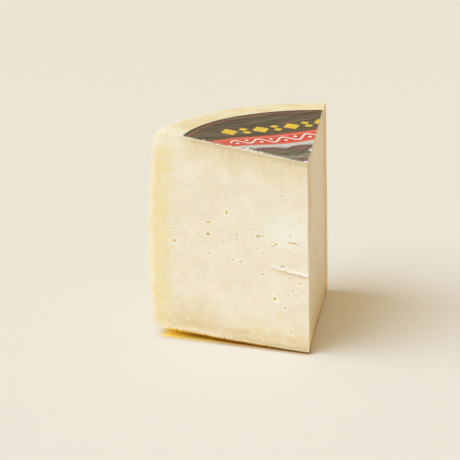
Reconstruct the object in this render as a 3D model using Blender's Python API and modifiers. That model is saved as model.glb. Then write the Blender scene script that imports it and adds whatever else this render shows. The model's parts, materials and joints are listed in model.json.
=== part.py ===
"""A wedge knife-cut from a pressed sheep's-milk cheese wheel, with its sector of paper label on top.

The wheel's axis is the Z axis while the shapes are made, the wedge opens along +Y from its point,
and the whole is then moved so that the origin is under the middle of its bounding box.
"""

import math
import random

import bmesh
import bpy
from mathutils import Matrix, Vector, noise

MM = 0.001

# The wheel that the wedge comes from
WHEEL_RADIUS = 72.0 * MM  # at its widest
WHEEL_HEIGHT = 86.4 * MM  # at the rind's raised margin, round the label
BULGE_HEIGHT = 37.0 * MM  # where the barrel-shaped side is widest
BARREL_RADIUS = 380.0 * MM  # the side's curve from top to bottom
RIM_ROUNDING = 3.2 * MM  # of the edge between the side and the top
FOOT_ROUNDING = 2.2 * MM  # of the edge between the side and the underside
MARGIN_INNER_RADIUS = 62.0 * MM  # where the raised margin meets the dished top
DISH_EDGE_HEIGHT = 85.5 * MM  # the cheese under the label's outer edge
DISH_SLOPE = 0.126  # the top falls this much towards the wheel's axis
TOP_ZONE = 76.0 * MM  # above this, the wheel's skin is its top
TURN_STEPS = 144
DISH_RINGS = 9
SIDE_RINGS = 14
EDGE_STEPS = 4  # round each of the wheel's two edges
MERGE_DISTANCE = 0.01 * MM

# The paper label that lies in the dish
LABEL_RADIUS = 56.3 * MM
LABEL_THICKNESS = 0.3 * MM
LABEL_GAP = 0.3 * MM
LABEL_RINGS = 8

# The two knife cuts, which meet in a slightly leaning edge beside the wheel's axis
HALF_ANGLE = math.radians(40.2)
POINT_AT_FOOT = Vector((-5.4, -0.2, 0.0)) * MM
POINT_AT_TOP = Vector((-7.2, 0.9, 79.4)) * MM
CUT_REACH = 92.0 * MM  # each way along the cut from the point
CUT_DEPTH = 100.0 * MM
CUT_OVERLAP = 10.0 * MM  # above and below the wheel
CUT_CELL = 4.4 * MM
CUT_WAVE_LENGTH = 17.0 * MM
CUT_WAVE_DEPTH = 0.22 * MM
WAVE_SEED = {"left": 0.0, "right": 1.0}

# The rind's unevenness, and the curl that lifts the left cut's foot off what the wedge stands on
RIND_WAVE_LENGTH = 24.0 * MM
RIND_WAVE_DEPTH = 0.35 * MM
CURL_REACH = 62.0 * MM  # along the left cut, where the curl is CURL_RISE high
CURL_RISE = 1.35 * MM
CURL_WIDTH = 21.0 * MM  # from the cut to where the underside is flat
CURL_DEPTH = 14.0 * MM  # height over which the side takes up the curl
LIFT_START = 4.0 * MM  # from the point, where the curl starts
FOOT_RINGS = 10  # of faces in the wheel's underside
REST_CORNERS = ((1, 142.5), (10, 55.0), (10, 112.5))  # ring, degrees: between them the underside is flat
REST_SLOPE = 0.08  # outside them it rises this much

# The flake broken off the left cut, near the point
FLAKE_AT = (4.5 * MM, 33.2 * MM)  # from the point, above the underside: the middle of its upper lip
FLAKE_LENGTH = 25.0 * MM  # it runs out past the point's edge
FLAKE_FALL = 8.0 * MM  # how far down the scar runs out
FLAKE_STEP = 0.5 * MM
FLAKE_CLEARANCE = 0.3 * MM  # of the cutter's run-out edges outside the wavy cut
FLAKE_BLOCK = 2.0 * MM
FLAKE_TILT = math.radians(-8.0)  # the lip falls towards the point
FLAKE_RAG_DEPTH = 0.35 * MM
FLAKE_RAG_LENGTH = 3.0 * MM
FLAKE_CUTS = 5

# Eyes of the left cut that stand out: (from the point, above the underside, width, height), in millimetres
LEFT_EYES = (
    (29.1, 65.8, 1.0, 0.7),
    (10.4, 64.9, 0.9, 1.1),
    (3.7, 67.4, 0.8, 0.7),
    (42.5, 59.1, 1.0, 0.7),
    (45.3, 55.9, 0.9, 0.8),
    (33.3, 55.8, 1.0, 2.0),
    (41.1, 51.1, 2.2, 0.9),
    (50.5, 46.8, 1.2, 0.7),
    (45.4, 45.6, 1.1, 0.7),
    (41.4, 46.2, 2.1, 1.3),
    (55.9, 41.9, 1.4, 1.2),
    (29.2, 47.0, 1.6, 0.9),
    (32.0, 45.4, 1.2, 0.7),
    (20.3, 47.3, 1.7, 1.4),
    (20.6, 42.2, 1.1, 0.7),
    (5.9, 45.9, 2.6, 0.8),
    (13.1, 44.7, 1.7, 1.0),
    (36.4, 35.9, 1.2, 0.7),
    (30.9, 36.5, 1.1, 0.7),
    (48.5, 29.8, 1.3, 0.7),
    (54.4, 26.5, 1.0, 0.7),
    (28.8, 30.2, 1.1, 0.7),
    (18.7, 31.8, 1.6, 0.9),
    (15.5, 24.1, 0.9, 0.7),
    (12.1, 24.0, 0.9, 0.7),
    (13.9, 21.8, 1.5, 1.7),
    (23.4, 22.8, 1.2, 0.8),
    (9.8, 18.4, 0.8, 1.2),
    (27.0, 14.5, 1.3, 0.7),
    (7.3, 8.3, 0.9, 1.2),
)
# Eyes of the right cut that stand out: tall slits
RIGHT_EYES = (
    (48.0, 53.0, 1.6, 2.6),
    (30.0, 59.0, 1.3, 2.2),
    (38.0, 42.0, 1.8, 2.4),
    (22.0, 45.0, 1.5, 1.8),
    (54.0, 37.0, 1.3, 2.3),
    (44.0, 29.0, 1.9, 1.6),
    (26.0, 33.0, 1.4, 2.0),
    (61.0, 49.0, 1.2, 1.9),
    (35.0, 16.0, 1.7, 1.2),
    (14.0, 38.0, 1.6, 1.7),
)
BIG_EYE = 2.0 * MM  # wider than this, an eye gets more faces
EYE_LUMPINESS = 0.3
EYE_LUMPS = 1.3  # to each radius
EYE_SPACING = 4.2 * MM
EYE_ZONE = ((4.0 * MM, 62.0 * MM), (6.0 * MM, 69.0 * MM))  # along and up the cut
SMALL_EYE_WIDTH = (0.7 * MM, 1.1 * MM)
SMALL_EYE_SHAPE = {"left": (0.55, 0.9), "right": (1.2, 2.0)}  # height for width: flat pips and tall slits
SMALL_EYES = {"left": 24, "right": 30}
EYE_SEED = {"left": 4, "right": 11}
CHIPS_AN_EDGE = 6
CHIP_REACH = (3.0 * MM, 62.0 * MM)  # from the point, along the top and the foot of a cut
CHIP_SIZE = (0.8 * MM, 1.7 * MM)
CHIP_PLACE = (0.15, 0.85)  # where in its share of the edge a chip may be
FOOT_CHIP_RISE = 0.17 * MM  # of a chip's middle over the underside
CHIP_SEED = {"left": 21, "right": 35}

SHARP_ANGLE = math.radians(35)
PASTE = (0.84, 0.74, 0.53, 1.0)
PAPER = (0.09, 0.075, 0.06, 1.0)


def new_collection(name):
    collection = bpy.data.collections.new(name)
    bpy.context.scene.collection.children.link(collection)
    return collection


def new_object(name, mesh, collection):
    obj = bpy.data.objects.new(name, mesh)
    collection.objects.link(obj)
    return obj


def new_material(name, colour, roughness):
    material = bpy.data.materials.new(name)
    material.use_nodes = True
    shader = material.node_tree.nodes["Principled BSDF"]
    shader.inputs["Base Color"].default_value = colour
    shader.inputs["Roughness"].default_value = roughness
    shader.inputs["Metallic"].default_value = 0.0
    return material


def mesh_from_bmesh(name, bm):
    mesh = bpy.data.meshes.new(name)
    bm.to_mesh(mesh)
    bm.free()
    return mesh


def spaced(low, high, cells):
    """cells + 1 numbers from low to high."""
    return [low + (high - low) * i / cells for i in range(cells + 1)]


def side_radius(height):
    return WHEEL_RADIUS - (height - BULGE_HEIGHT) ** 2 / (2 * BARREL_RADIUS)


def dish_height(radius):
    return DISH_EDGE_HEIGHT - DISH_SLOPE * (LABEL_RADIUS - radius)


def rim_arc(centre_height, rounding, start_deg, end_deg):
    """Profile points round an edge of the wheel; 90 degrees is up and 0 is outward."""
    centre = side_radius(centre_height) - rounding
    angles = [math.radians(a) for a in spaced(start_deg, end_deg, EDGE_STEPS)]
    return [(centre + rounding * math.cos(a), centre_height + rounding * math.sin(a)) for a in angles]


def wheel_profile():
    """(radius, height) from the top's middle, out over the rim, down the side and in along the underside."""
    top = [(r, dish_height(r)) for r in spaced(0.0, MARGIN_INNER_RADIUS, DISH_RINGS)]
    upper = rim_arc(WHEEL_HEIGHT - RIM_ROUNDING, RIM_ROUNDING, 90, 0)
    heights = spaced(WHEEL_HEIGHT - 2 * RIM_ROUNDING, 2 * FOOT_ROUNDING, SIDE_RINGS)
    side = [(side_radius(z), z) for z in heights]
    lower = rim_arc(FOOT_ROUNDING, FOOT_ROUNDING, 0, -90)
    foot = lower[-1][0]
    return top + upper + side + lower + [(r, 0.0) for r in spaced(foot, 0.0, FOOT_RINGS)[1:]]


def label_profile():
    """(radius, height) along the label's upper face, over its edge and back along its lower face."""
    radii = spaced(0.0, LABEL_RADIUS, LABEL_RINGS)
    under = [(r, dish_height(r) + LABEL_GAP) for r in radii]
    over = [(r, z + LABEL_THICKNESS) for r, z in under]
    return over + under[::-1]


def turned(name, profile, make_uneven, collection):
    """The profile turned once round the Z axis and made uneven, as a closed mesh."""
    mesh = bpy.data.meshes.new(name)
    points = [(r, 0.0, z) for r, z in profile]
    mesh.from_pydata(points, [(i, i + 1) for i in range(len(points) - 1)], [])
    outline = new_object(name + "_outline", mesh, collection)
    screw = outline.modifiers.new("turn", "SCREW")
    screw.steps = screw.render_steps = TURN_STEPS
    screw.use_merge_vertices = True
    screw.merge_threshold = MERGE_DISTANCE
    graph = bpy.context.evaluated_depsgraph_get()
    made = bpy.data.meshes.new_from_object(outline.evaluated_get(graph))
    bpy.data.objects.remove(outline)
    bm = bmesh.new()
    bm.from_mesh(made)
    bmesh.ops.remove_doubles(bm, verts=bm.verts, dist=MERGE_DISTANCE)
    make_uneven(bm)
    bm.to_mesh(made)
    bm.free()
    made.name = name
    return made


def cut_axes(side):
    """The cut's directions: away from the point, up the leaning edge, and out of the wedge."""
    sign = -1 if side == "left" else 1
    along = Vector((sign * math.sin(HALF_ANGLE), math.cos(HALF_ANGLE), 0.0))
    up = (POINT_AT_TOP - POINT_AT_FOOT) / (POINT_AT_TOP.z - POINT_AT_FOOT.z)
    outward = (along.cross(up) * sign).normalized()
    return along, up, outward


def outside_rest(point):
    """How far a point is outside the flat triangle that the wedge rests on; inside it, 0."""
    foot = side_radius(FOOT_ROUNDING) - FOOT_ROUNDING
    corners = []
    for ring, degrees in REST_CORNERS:
        angle = math.radians(degrees)
        corners.append(Vector((math.cos(angle), math.sin(angle))) * foot * ring / FOOT_RINGS)
    distance = 0.0
    for start, end in zip(corners, corners[1:] + corners[:1]):
        edge = (end - start).normalized()
        distance = max(distance, (point.xy - start).dot(Vector((edge.y, -edge.x))))
    return distance


def underside_rise(point):
    """How far the underside is lifted at a point: most at the left cut's outer end."""
    along, _, outward = cut_axes("left")
    from_foot = point - POINT_AT_FOOT
    reach = max(0.0, from_foot.dot(along) - LIFT_START)
    inward = max(0.0, -from_foot.dot(outward))
    rise = CURL_RISE * (reach / (CURL_REACH - LIFT_START)) ** 2 * max(0.0, 1 - inward / CURL_WIDTH)
    rise += REST_SLOPE * outside_rest(point)
    return rise * max(0.0, 1 - point.z / CURL_DEPTH)


def rind_wave(point):
    """How far the hand-made wheel's skin stands out or sinks in at a point."""
    ends = point.z > TOP_ZONE or point.z < FOOT_ROUNDING
    place = Vector((point.x, point.y, 0.0)) if ends else point
    return RIND_WAVE_DEPTH * noise.noise(place / RIND_WAVE_LENGTH)


def make_wheel_uneven(bm):
    for vertex in bm.verts:
        point = vertex.co.copy()
        outward = Vector((point.x, point.y, 0.0)) / WHEEL_RADIUS
        if point.z > FOOT_ROUNDING:
            vertex.co += outward * rind_wave(point)
        if point.z > TOP_ZONE:
            vertex.co.z += rind_wave(point)
        vertex.co.z += underside_rise(point)


def make_label_uneven(bm):
    for vertex in bm.verts:
        vertex.co.z += rind_wave(vertex.co)


def knife_cut(side, cutters):
    """A block whose inner face is the cut, with the shallow waves that the knife left."""
    along, up, outward = cut_axes(side)
    height = WHEEL_HEIGHT + 2 * CUT_OVERLAP
    bm = bmesh.new()
    bmesh.ops.create_grid(
        bm,
        x_segments=round(2 * CUT_REACH / CUT_CELL),
        y_segments=round(height / CUT_CELL),
        size=1.0,
    )
    for vertex in bm.verts:
        reach = vertex.co.x * CUT_REACH
        rise = WHEEL_HEIGHT / 2 + vertex.co.y * height / 2
        wave = noise.noise(Vector((reach, rise, WAVE_SEED[side])) / CUT_WAVE_LENGTH)
        vertex.co = POINT_AT_FOOT + along * reach + up * rise + outward * CUT_WAVE_DEPTH * wave
    extruded = bmesh.ops.extrude_face_region(bm, geom=bm.faces[:])
    moved = [v for v in extruded["geom"] if isinstance(v, bmesh.types.BMVert)]
    bmesh.ops.translate(bm, verts=moved, vec=outward * CUT_DEPTH)
    bmesh.ops.recalc_face_normals(bm, faces=bm.faces)
    return new_object("knife_cut_" + side, mesh_from_bmesh("knife_cut_" + side, bm), cutters)


def flake_scar(cutters):
    """A shallow wedge: deep under its straight upper lip, running out below it."""
    along, up, outward = cut_axes("left")
    lip = POINT_AT_FOOT + along * FLAKE_AT[0] + up * FLAKE_AT[1]
    turn = Matrix.Rotation(FLAKE_TILT, 3, outward)
    along, up = turn @ along, turn @ up
    bm = bmesh.new()
    bmesh.ops.create_cube(bm, size=1.0)
    bmesh.ops.subdivide_edges(bm, edges=bm.edges[:], cuts=FLAKE_CUTS, use_grid_fill=True)
    for vertex in bm.verts:
        reach = vertex.co.x * FLAKE_LENGTH
        fall = (0.5 - vertex.co.z) * FLAKE_FALL
        taper = 1 - (2 * vertex.co.x) ** 2 - fall / FLAKE_FALL
        ragged = FLAKE_RAG_DEPTH * noise.noise(Vector((reach / FLAKE_RAG_LENGTH, 0.0, 0.0)))
        depth = FLAKE_CLEARANCE - (FLAKE_STEP + FLAKE_CLEARANCE) * taper + (vertex.co.y + 0.5) * FLAKE_BLOCK
        vertex.co = lip + along * reach + up * (ragged - fall) + outward * depth
    bmesh.ops.recalc_face_normals(bm, faces=bm.faces)
    return new_object("flake_scar", mesh_from_bmesh("flake_scar", bm), cutters)


def scattered_eyes(side, placed):
    """Small eyes by a seeded rule, each clear of all the others on its cut."""
    draw = random.Random(EYE_SEED[side])
    (near, far), (low, high) = EYE_ZONE
    taken = [(reach, rise) for reach, rise, _, _ in placed]
    small = []
    while len(small) < SMALL_EYES[side]:
        reach, rise = draw.uniform(near, far), draw.uniform(low, high)
        if all(math.dist((reach, rise), other) > EYE_SPACING for other in taken):
            width = draw.uniform(*SMALL_EYE_WIDTH)
            small.append((reach, rise, width, width * draw.uniform(*SMALL_EYE_SHAPE[side])))
            taken.append((reach, rise))
    return small


def top_edge_rise(side, reach):
    """How high the cut's top edge is, this far from the point."""
    along, up, _ = cut_axes(side)
    return dish_height((POINT_AT_TOP + along * reach).xy.length) / up.z


def strewn(draw, low, high):
    """Places along an edge, unevenly apart but never touching."""
    step = (high - low) / CHIPS_AN_EDGE
    return [low + step * (i + draw.uniform(*CHIP_PLACE)) for i in range(CHIPS_AN_EDGE)]


def edge_chips(side):
    """Crumbs lost from the cut's top and foot."""
    draw = random.Random(CHIP_SEED[side])
    along = cut_axes(side)[0]
    spots = [(reach, top_edge_rise(side, reach)) for reach in strewn(draw, *CHIP_REACH)]
    for reach in strewn(draw, *CHIP_REACH):
        spots.append((reach, underside_rise(POINT_AT_FOOT + along * reach) + FOOT_CHIP_RISE))
    return [spot + (draw.uniform(*CHIP_SIZE), draw.uniform(*CHIP_SIZE)) for spot in spots]


def hollows_of(side):
    """(from the point, above the underside, width, height) of every small hollow in the cut."""
    placed = [tuple(v * MM for v in eye) for eye in (LEFT_EYES if side == "left" else RIGHT_EYES)]
    return placed + scattered_eyes(side, placed) + edge_chips(side)


def small_hollows(side, cutters):
    """One cutter of closed, uneven pips set in the cut: the paste's eyes and the chips at its edges."""
    along, up, outward = cut_axes(side)
    bm = bmesh.new()
    for number, (reach, rise, width, height) in enumerate(hollows_of(side)):
        depth = 0.5 * (width + height)
        frame = Matrix.Identity(4)
        frame.col[0][:3] = along * width / 2
        frame.col[1][:3] = up * height / 2
        frame.col[2][:3] = outward * depth / 2
        frame.translation = POINT_AT_FOOT + along * reach + up * rise
        detail = 2 if width > BIG_EYE else 1
        pip = bmesh.ops.create_icosphere(bm, subdivisions=detail, radius=1.0)["verts"]
        for vertex in pip:
            lumpy = 1 + EYE_LUMPINESS * noise.noise(vertex.co * EYE_LUMPS + Vector((number, 0.0, 0.0)))
            vertex.co = frame @ (vertex.co * lumpy)
    bmesh.ops.recalc_face_normals(bm, faces=bm.faces)
    return new_object("small_hollows_" + side, mesh_from_bmesh("small_hollows_" + side, bm), cutters)


def cut_with(obj, cutters, solver="EXACT"):
    for cutter in cutters:
        cutter.hide_render = True
        cutter.display_type = "WIRE"
        boolean = obj.modifiers.new(cutter.name, "BOOLEAN")
        boolean.operation = "DIFFERENCE"
        boolean.solver = solver
        boolean.object = cutter


def make_cheese_wedge(parts):
    mesh = turned("cheese_wedge", wheel_profile(), make_wheel_uneven, parts)
    mesh.materials.append(new_material("paste_and_rind", PASTE, 0.55))
    return new_object("cheese_wedge", mesh, parts)


def make_label(parts):
    mesh = turned("label", label_profile(), make_label_uneven, parts)
    mesh.materials.append(new_material("printed_paper", PAPER, 0.45))
    return new_object("label", mesh, parts)


def shade(objects):
    for obj in objects:
        obj.data.shade_smooth()
        obj.data.set_sharp_from_angle(angle=SHARP_ANGLE)


def stand_over_origin(wedge, everything):
    """Hangs all on one empty, moved so that the origin is under the middle of the wedge's box."""
    bpy.context.view_layer.update()
    solid = wedge.evaluated_get(bpy.context.evaluated_depsgraph_get()).to_mesh()
    xs = [v.co.x for v in solid.vertices]
    ys = [v.co.y for v in solid.vertices]
    wheel_axis = new_object("wheel_axis", None, bpy.context.scene.collection)
    wheel_axis.location = (-(min(xs) + max(xs)) / 2, -(min(ys) + max(ys)) / 2, 0.0)
    for obj in everything:
        obj.parent = wheel_axis


def main():
    for obj in list(bpy.data.objects):
        bpy.data.objects.remove(obj)
    parts = new_collection("cheese wedge")
    cutters = new_collection("cutters")
    wedge = make_cheese_wedge(parts)
    label = make_label(parts)
    cuts = [knife_cut("left", cutters), knife_cut("right", cutters)]
    hollows = [flake_scar(cutters), small_hollows("left", cutters), small_hollows("right", cutters)]
    cut_with(wedge, cuts)
    cut_with(wedge, hollows, solver="MANIFOLD")
    cut_with(label, cuts)
    shade([wedge, label])
    stand_over_origin(wedge, [wedge, label] + cuts + hollows)


main()
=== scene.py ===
"""The looks of a cheese wedge: cut paste with small eyes, waxy rind, printed paper label and crumbs."""

import json
import math
import random
from types import SimpleNamespace

import bpy
import numpy as np
from mathutils import Matrix, Vector, noise

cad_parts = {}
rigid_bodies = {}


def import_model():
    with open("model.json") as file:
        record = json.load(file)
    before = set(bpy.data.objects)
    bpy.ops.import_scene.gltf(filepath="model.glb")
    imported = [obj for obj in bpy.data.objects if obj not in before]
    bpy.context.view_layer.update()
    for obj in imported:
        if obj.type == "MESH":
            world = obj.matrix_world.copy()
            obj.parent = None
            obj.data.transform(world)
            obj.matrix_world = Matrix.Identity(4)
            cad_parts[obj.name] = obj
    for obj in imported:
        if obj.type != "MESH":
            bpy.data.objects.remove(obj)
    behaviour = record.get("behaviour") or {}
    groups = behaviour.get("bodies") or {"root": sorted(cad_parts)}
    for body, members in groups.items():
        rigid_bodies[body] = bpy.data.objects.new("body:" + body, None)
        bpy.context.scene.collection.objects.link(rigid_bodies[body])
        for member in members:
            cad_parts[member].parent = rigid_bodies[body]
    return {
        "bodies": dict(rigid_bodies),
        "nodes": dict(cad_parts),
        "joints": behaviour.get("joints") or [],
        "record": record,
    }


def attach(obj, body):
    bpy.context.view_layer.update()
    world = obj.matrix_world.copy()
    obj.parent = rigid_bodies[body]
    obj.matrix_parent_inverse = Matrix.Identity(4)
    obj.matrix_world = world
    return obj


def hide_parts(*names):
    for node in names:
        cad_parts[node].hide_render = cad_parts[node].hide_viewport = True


MM = 0.001

# The wheel that the wedge comes from, as in the part
WHEEL_RADIUS = 72.0 * MM
WHEEL_HEIGHT = 86.4 * MM
BULGE_HEIGHT = 37.0 * MM
BARREL_RADIUS = 380.0 * MM
RIM_ROUNDING = 3.2 * MM
FOOT_ROUNDING = 2.2 * MM
MARGIN_INNER_RADIUS = 62.0 * MM
DISH_EDGE_HEIGHT = 85.5 * MM
DISH_SLOPE = 0.126
TOP_ZONE = 76.0 * MM
WHEEL_AXIS = Vector((3.649, -35.815, 0.0)) * MM  # from the origin, which is under the wedge's middle
TURN_STEPS = 144
SIDE_RINGS = 24
END_RINGS = 11
EDGE_STEPS = 5  # round each of its two edges
SNAP = 0.01 * MM  # as near to a height as this counts as at it
RIND_VOXEL = 1.0 * MM
RIND_SMOOTHING = {"factor": 0.5, "iterations": 2}
RIND_DENT_LENGTH = 6.0 * MM
RIND_DENT_DEPTH = 0.09 * MM

# The knife cuts
HALF_ANGLE = math.radians(40.2)
POINT_AT_FOOT = Vector((-5.4, -0.2, 0.0)) * MM  # from the wheel's axis, as all that follows
POINT_AT_TOP = Vector((-7.2, 0.9, 79.4)) * MM
ROUGH_CUT = 2.0 * MM  # how far outside the real cuts the wheel is first cut
CUT_REACH = (-4.0 * MM, 79.0 * MM)  # from the point, what the knife's blocks cover
CUT_RISE = (-3.0 * MM, 89.0 * MM)
CUT_BLOCK = 6.0 * MM
CUT_CELL = 0.46 * MM
CUT_WAVE_LENGTH = 17.0 * MM
CUT_WAVE_DEPTH = 0.22 * MM
SIDES = ("left", "right")
WAVE_SEED = {"left": 0.0, "right": 1.0}
CRUMBLE_LENGTH = 1.5 * MM  # the fine unevenness of the cut paste
CRUMBLE_DEPTH = 0.045 * MM
EDGE_CRUMBLE = 4.0  # that much more of it at the cut's top and foot
EDGE_CRUMBLE_REACH = 0.9 * MM
DRAG_LENGTH = (1.3 * MM, 16.0 * MM)  # across and along the marks that the knife dragged
DRAG_DEPTH = {"left": 0.03 * MM, "right": 0.06 * MM}

# The rind's unevenness, and the curl that lifts the left cut's foot
RIND_WAVE_LENGTH = 24.0 * MM
RIND_WAVE_DEPTH = 0.35 * MM
CURL_REACH = 62.0 * MM
CURL_RISE = 1.35 * MM
CURL_WIDTH = 21.0 * MM
CURL_DEPTH = 14.0 * MM
LIFT_START = 4.0 * MM
FOOT_RINGS = 10
REST_CORNERS = ((1, 142.5), (10, 55.0), (10, 112.5))
REST_SLOPE = 0.08

# The flake broken off the left cut, and the swelling over its lip
FLAKE_AT = (4.5 * MM, 33.2 * MM)
FLAKE_LENGTH = 25.0 * MM
FLAKE_FALL = 8.0 * MM
FLAKE_STEP = 0.42 * MM
FLAKE_CLEARANCE = 0.3 * MM
FLAKE_BLOCK = 2.0 * MM
FLAKE_TILT = math.radians(-8.0)
FLAKE_RAG_DEPTH = 0.15 * MM
FLAKE_RAG_LENGTH = 3.5 * MM
FLAKE_CELLS = 35
FLAKE_GRAIN = 0.25
FLAKE_GRAIN_LENGTH = 1.3 * MM
LIP_SWELL = 0.6 * MM
LIP_SWELL_REACH = 1.5 * MM  # up from the lip

# Eyes that stand out: (from the point, above the underside, width, height), in millimetres
LEFT_EYES = (
    (29.1, 65.8, 1.0, 0.7), (10.4, 64.9, 0.9, 1.1), (3.7, 67.4, 0.8, 0.7),
    (42.5, 59.1, 1.0, 0.7), (45.3, 55.9, 0.9, 0.8), (33.3, 55.8, 1.0, 2.0),
    (41.1, 51.1, 2.2, 0.9), (50.5, 46.8, 1.2, 0.7), (45.4, 45.6, 1.1, 0.7),
    (41.4, 46.2, 2.1, 1.3), (55.9, 41.9, 1.4, 1.2), (29.2, 47.0, 1.6, 0.9),
    (32.0, 45.4, 1.2, 0.7), (20.3, 47.3, 1.7, 1.4), (20.6, 42.2, 1.1, 0.7),
    (5.9, 45.9, 2.6, 0.8), (13.1, 44.7, 1.7, 1.0), (36.4, 35.9, 1.2, 0.7),
    (30.9, 36.5, 1.1, 0.7), (48.5, 29.8, 1.3, 0.7), (54.4, 26.5, 1.0, 0.7),
    (28.8, 30.2, 1.1, 0.7), (18.7, 31.8, 1.6, 0.9), (15.5, 24.1, 0.9, 0.7),
    (12.1, 24.0, 0.9, 0.7), (13.9, 21.8, 1.5, 1.7), (23.4, 22.8, 1.2, 0.8),
    (9.8, 18.4, 0.8, 1.2), (27.0, 14.5, 1.3, 0.7), (7.3, 8.3, 0.9, 1.2),
)
AMBER_EYE = 10  # of LEFT_EYES, the one with a deep yellow lining
RIGHT_EYES = (
    (48.0, 53.0, 1.6, 2.6), (30.0, 59.0, 1.3, 2.2), (38.0, 42.0, 1.8, 2.4),
    (22.0, 45.0, 1.5, 1.8), (54.0, 37.0, 1.3, 2.3), (44.0, 29.0, 1.9, 1.6),
    (26.0, 33.0, 1.4, 2.0), (61.0, 49.0, 1.2, 1.9), (35.0, 16.0, 1.7, 1.2),
    (14.0, 38.0, 1.6, 1.7),
)
LEFT_SPECKS = (  # faint ones beside them, that only the dressed cheese has
    (18.7, 47.6, 1.5, 0.5), (20.7, 46.1, 0.7, 0.8), (7.3, 46.1, 1.2, 1.0),
    (4.2, 45.6, 1.6, 0.5), (14.6, 45.5, 0.8, 0.8), (14.4, 43.8, 1.3, 0.6),
    (19.7, 32.7, 0.8, 0.8), (30.3, 55.1, 1.3, 0.6), (34.8, 43.6, 0.6, 1.3),
    (12.2, 39.7, 0.8, 0.6), (10.2, 40.4, 1.0, 0.6), (6.1, 40.9, 0.9, 0.9),
    (1.9, 36.7, 0.6, 0.6), (10.5, 35.9, 2.0, 0.6), (26.0, 41.4, 0.8, 0.6),
    (31.3, 41.2, 0.9, 0.6), (27.8, 36.0, 1.8, 0.5), (41.4, 38.0, 2.2, 0.5),
    (40.2, 28.6, 1.0, 1.2), (30.4, 24.3, 1.5, 0.6), (33.3, 19.0, 1.1, 0.9),
    (3.8, 29.4, 1.5, 0.8), (6.4, 26.1, 1.5, 0.5), (1.9, 50.6, 0.5, 0.6),
    (5.6, 52.9, 1.3, 0.7), (7.1, 48.6, 1.5, 0.5), (2.6, 47.2, 0.6, 0.5),
    (13.5, 56.0, 0.8, 0.8),
)
EYE_UNEVENNESS = (0.3, 1.3)  # how much, and how many lumps to each half width
EYE_SHALLOWNESS = 0.62
BIG_EYE = 1.5 * MM
EYE_SPACING = 4.2 * MM
EYE_ZONE = ((4.0 * MM, 62.0 * MM), (6.0 * MM, 69.0 * MM))
SMALL_EYE_WIDTH = (0.7 * MM, 1.1 * MM)
SMALL_EYE_SHAPE = {"left": (0.55, 0.9), "right": (1.2, 2.0)}
SMALL_EYES = {"left": 24, "right": 30}
EYE_SEED = {"left": 4, "right": 11}
CHIPS_AN_EDGE = 6
CHIP_REACH = (3.0 * MM, 62.0 * MM)
CHIP_SIZE = (0.8 * MM, 1.7 * MM)
CHIP_PLACE = (0.15, 0.85)  # where in its share of the edge a chip may be
FOOT_CHIP_RISE = 0.17 * MM
CHIP_SEED = {"left": 21, "right": 35}
NEAR_CUT = 2.0 * MM  # how deep inside a cut its marks may reach
EYE_SHALLOWS = 0.08 * MM  # where an eye's lining starts to take its colour, yellower paste and painted shade of the hollow
EYE_DEEPS = 0.3 * MM  # where it has it fully
EYE_LINED = 1.35  # in half eye widths: how far out the lining's colour may reach
EYE_HALO = (2.4, 1.1)  # in half eye widths: the paler paste round an eye
LIP_HIGHLIGHT_REACH = 1.15 * MM  # how far the painted highlight, a pale strip, reaches over the flake's lip
LIP_SHADE_REACH = 1.1 * MM  # and the painted shade, a tan line, under it
LIP_SHADE_FULLNESS = 1.6  # how much more slowly than the painted highlight the painted shade fades along the lip
PALE_AT = (8.5 * MM, 50.0 * MM)  # the middle of the palest paste on the left cut
STAIN_AT = (50.0 * MM, 7.0 * MM)  # and of the tan stain over its foot
FOOT_ZONE = 16.0 * MM  # below this, the height over the underside is stored
CHEESE_SHARP_ANGLE = math.radians(50)
# lip and scar carry the painted highlight over the flake's lip and the painted shade under it
MARKS = ("lining", "halo", "amber", "lip", "scar", "foot")

# Crumbs that stick to the left cut over its foot, and fibres of the label's torn edge
CRUMBS = 11
CRUMB_REACH = (4.0 * MM, 60.0 * MM)
CRUMB_RISE = (1.0 * MM, 2.7 * MM)
CRUMB_SIZE = (0.5 * MM, 1.0 * MM)
CRUMB_PLACE = (0.1, 0.9)  # where in its share of the foot a crumb may be
CRUMB_SHAPE = ((0.9, 1.5), (0.6, 1.0), 0.8)  # along, up and out of the cut, to its half width
CRUMB_STAND = 0.2  # how far its middle stands out, to the same
CRUMB_SEED = 8
FIBRES = (  # each (from the point, size), in millimetres
    (22.4, 1.6), (24.2, 2.2), (26.9, 1.5), (28.6, 0.8), (20.6, 0.8),
    (31.0, 1.0), (42.0, 0.9), (0.6, 1.3), (35.5, 0.8), (14.2, 0.6),
)
FIBRE_SHAPE = ((0.8, 1.4), (0.35, 0.6), 0.7)
FIBRE_SINK = 0.4  # how far its middle is inside the cut, to its half width
FIBRE_SEED = 9
BIT_UNEVENNESS = (0.45, 1.6)  # of crumbs and fibres: how much, and how many lumps to each half width
BIT_SEED = 3.0
BALL_DETAIL = {False: 2, True: 3}  # of plain and of big ones

# The label
LABEL_RADIUS = 56.3 * MM
LABEL_LIFT = 0.15 * MM  # its underside over the cheese
PAPER_THICKNESS = 0.15 * MM
LABEL_RINGS = 8
TEAR_CELL = 0.3 * MM
TEAR_LENGTH = 2.2 * MM
TEAR_SEED = {"left": 7.0, "right": 8.0}
TEAR_DEPTH = {"left": 0.45 * MM, "right": 0.2 * MM}
LABEL_SHARP_ANGLE = math.radians(40)
PRINT_TURN = math.radians(-6.0)  # the printed bands' direction from +X

# The photograph's camera, from the fit of the wedge's outline
VIEW_AZIMUTH = math.radians(-31.0)
VIEW_ELEVATION = math.radians(18.16)
VIEW_DISTANCE = 566.7 * MM
VIEW_TARGET = Vector((-27.4, -17.18, 51.23)) * MM
LENS_MM = 113.56
SENSOR_MM = 36.0

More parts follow.
